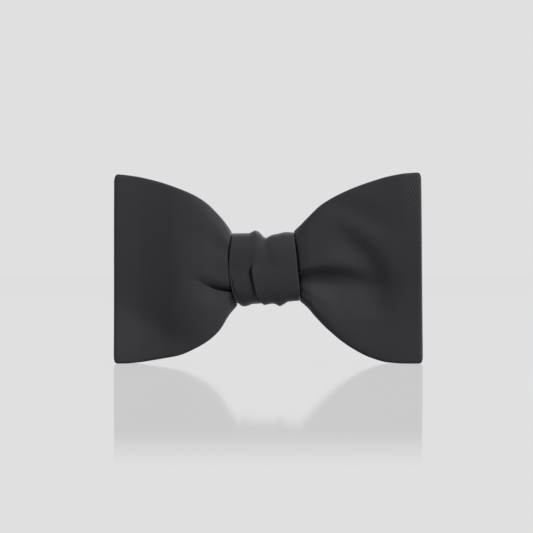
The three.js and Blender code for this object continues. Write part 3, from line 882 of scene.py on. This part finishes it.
def twill_material():
    """Dark twill: fine slanting ridges, with a soft sheen, and painted glints on the ridges up on the right
    wing.
    """
    material, nodes, surface = new_material("twill")
    cloth = nodes.add("ShaderNodeBsdfPrincipled")
    nodes.link(cloth.outputs["BSDF"], surface)
    weave = nodes.add("ShaderNodeUVMap", uv_map="Weave")
    place = nodes.add("ShaderNodeSeparateXYZ")
    nodes.link(weave.outputs["UV"], place.inputs[0])
    strip, height = place.outputs[0], place.outputs[1]
    object_place = nodes.add("ShaderNodeTexCoord").outputs["Object"]

    stray = nodes.noise(object_place, twill_stray["scale"], twill_stray["detail"])
    across = nodes.math(
        "ADD",
        nodes.math("MULTIPLY", strip, math.sin(twill_slope) / (twill_pitch * MM)),
        nodes.math("MULTIPLY", height, math.cos(twill_slope) / (twill_pitch * MM)),
    )
    strayed = nodes.map_range(stray, noise_low, noise_high, -twill_stray["most"], twill_stray["most"])
    across = nodes.math("ADD", across, strayed)
    wave = nodes.math("SINE", nodes.math("MULTIPLY", across, 2 * math.pi))
    ridge = nodes.math("MULTIPLY_ADD", wave, 0.5, 0.5)

    patches = nodes.noise(object_place, twill_patches["scale"], twill_patches["detail"])
    plain = nodes.map_range(patches, twill_plain["low"], twill_plain["high"], twill_plain["most"], 0)
    shown = nodes.math("MULTIPLY_ADD", nodes.math("SUBTRACT", 0.5, ridge), plain, ridge)
    faint = nodes.mix_colour(shown, faint_yarn["groove"], faint_yarn["ridge"])
    # Painted glints on the ridges and painted shade in the grooves, for up on the right wing
    clear = nodes.mix_colour(ridge, yarn_with_painted_glints["groove"], yarn_with_painted_glints["ridge"])
    on_wing = nodes.add("ShaderNodeSeparateXYZ")
    nodes.link(object_place, on_wing.inputs[0])
    by_fold, by_top = [
        nodes.map_range(on_wing.outputs[axis], low * MM, high * MM, 0, 1, smooth=True)
        for axis, (low, high) in ((0, painted_glint_place["out"]), (2, painted_glint_place["height"]))
    ]
    # The painted glints are mixed in by where the piece stands: near the right wing's outer fold and top
    yarn_and_painted_glints = nodes.mix_colour(nodes.math("MULTIPLY", by_fold, by_top), faint, clear)
    mottle = nodes.map_range(patches, twill_mottle["low"], twill_mottle["high"], 0, twill_mottle["most"])
    nodes.link(nodes.mix_colour(mottle, yarn_and_painted_glints, twill_mottle["colour"]), cloth.inputs["Base Color"])
    roughness = nodes.map_range(shown, 0, 1, twill_roughness["groove"], twill_roughness["ridge"])
    nodes.link(roughness, cloth.inputs["Roughness"])
    cloth.inputs["Specular IOR Level"].default_value = twill_specular
    cloth.inputs["Sheen Weight"].default_value = twill_sheen["weight"]
    cloth.inputs["Sheen Roughness"].default_value = twill_sheen["roughness"]
    cloth.inputs["Sheen Tint"].default_value = twill_sheen["tint"]
    nodes.link(nodes.bump(shown, **twill_bump), cloth.inputs["Normal"])
    return material


def nylon_material():
    """Black moulded nylon with a fine satin grain."""
    material, nodes, surface = new_material("nylon")
    plastic = nodes.add("ShaderNodeBsdfPrincipled")
    nodes.link(plastic.outputs["BSDF"], surface)
    place = nodes.add("ShaderNodeTexCoord").outputs["Object"]
    grain = nodes.noise(place, **nylon_grain)
    wear = nodes.noise(place, **nylon_wear)
    nodes.link(nodes.mix_colour(wear, *nylon_colours), plastic.inputs["Base Color"])
    roughness = nodes.map_range(wear, noise_low, noise_high, *nylon_roughness)
    nodes.link(roughness, plastic.inputs["Roughness"])
    nodes.link(nodes.bump(grain, **nylon_bump), plastic.inputs["Normal"])
    return material


def floor_material():
    """A pale studio floor: part lit, part glowing, with a faint mirror that fades out towards the camera."""
    material, nodes, surface = new_material("studio_floor")
    place = nodes.add("ShaderNodeSeparateXYZ")
    nodes.link(nodes.add("ShaderNodeTexCoord").outputs["Object"], place.inputs[0])
    forward = nodes.math("MULTIPLY", place.outputs[1], -1)
    mirror_part = nodes.map_range(
        forward, mirror_fade_start * MM, mirror_fade_end * MM, mirror_strength, 0, smooth=True
    )
    lit = nodes.add("ShaderNodeBsdfDiffuse")
    lit.inputs["Color"].default_value = grey(floor_albedo)
    glow = nodes.add("ShaderNodeEmission")
    glow.inputs["Color"].default_value = grey(backdrop)
    path = nodes.add("ShaderNodeLightPath")
    strength = nodes.map_range(path.outputs["Is Diffuse Ray"], 0, 1, 1, floor_bounce)
    nodes.link(strength, glow.inputs["Strength"])
    matte = nodes.add("ShaderNodeMixShader")
    matte.inputs[0].default_value = floor_glow
    nodes.link(lit.outputs[0], matte.inputs[1])
    nodes.link(glow.outputs[0], matte.inputs[2])
    mirror = nodes.add("ShaderNodeBsdfAnisotropic")
    mirror.inputs["Color"].default_value = grey(1)
    mirror.inputs["Roughness"].default_value = mirror_roughness
    mixed = nodes.add("ShaderNodeMixShader")
    nodes.link(mirror_part, mixed.inputs[0])
    nodes.link(matte.outputs[0], mixed.inputs[1])
    nodes.link(mirror.outputs[0], mixed.inputs[2])
    nodes.link(mixed.outputs[0], surface)
    return material


def studio_floor():
    mesh = bpy.data.meshes.new("studio_floor")
    corners = [(x * floor_reach, y * floor_reach, 0) for x, y in ((-1, -1), (1, -1), (1, 1), (-1, 1))]
    mesh.from_pydata(corners, [], [(0, 1, 2, 3)])
    mesh.materials.append(floor_material())
    floor = link_object("studio_floor", mesh)


def studio_world():
    """The backdrop: pale to the camera and in reflections, and dimmer as fill light."""
    world = bpy.data.worlds.new("studio")
    bpy.context.scene.world = world
    world.use_nodes = True
    nodes = Nodes(world.node_tree)
    out = nodes.add("ShaderNodeOutputWorld")
    path = nodes.add("ShaderNodeLightPath")
    seen = nodes.math("MAXIMUM", path.outputs["Is Camera Ray"], path.outputs["Is Glossy Ray"])
    background = nodes.add("ShaderNodeBackground")
    colour = nodes.mix_colour(seen, grey(fill_light), grey(backdrop))
    nodes.link(colour, background.inputs["Color"])
    nodes.link(background.outputs[0], out.inputs["Surface"])


def soft_light(name, azimuth, elevation, strength, angle):
    light = bpy.data.lights.new(name, "SUN")
    light.energy = strength
    light.angle = math.radians(angle)
    made = link_object(name, light)
    turn, lift = math.radians(azimuth), math.radians(elevation)
    towards = Vector((math.sin(turn) * math.cos(lift), -math.cos(turn) * math.cos(lift), math.sin(lift)))
    made.rotation_euler = towards.to_track_quat("Z", "Y").to_euler()


def camera():
    data = bpy.data.cameras.new("camera")
    data.sensor_width = sensor_width
    data.lens = sensor_width * camera_distance / frame_width
    data.clip_end = camera_reach
    made = link_object("camera", data)
    made.location = (frame_centre_x * MM, (middle_y - camera_distance) * MM, frame_centre_z * MM)
    made.rotation_euler = (math.pi / 2, 0, 0)
    bpy.context.scene.camera = made


def dress(piece, node, material):
    piece.data.materials.append(material)
    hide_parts(node)
    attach(piece, "root")
    return piece


camera()
studio_world()
studio_floor()
for light in soft_lights:
    soft_light(**light)

twill = twill_material()
nylon = nylon_material()
left_wing = dress(wing("left_wing_cloth", -1, left_ribs, left_folds), "left_wing", twill)
right_wing = dress(wing("right_wing_cloth", 1, right_ribs, right_folds), "right_wing", twill)
knot_band = dress(knot("knot_cloth"), "knot", twill)
dress(moulded_clip("moulded_clip"), "back_clip", nylon)

bpy.context.scene.view_settings.view_transform = "Standard"
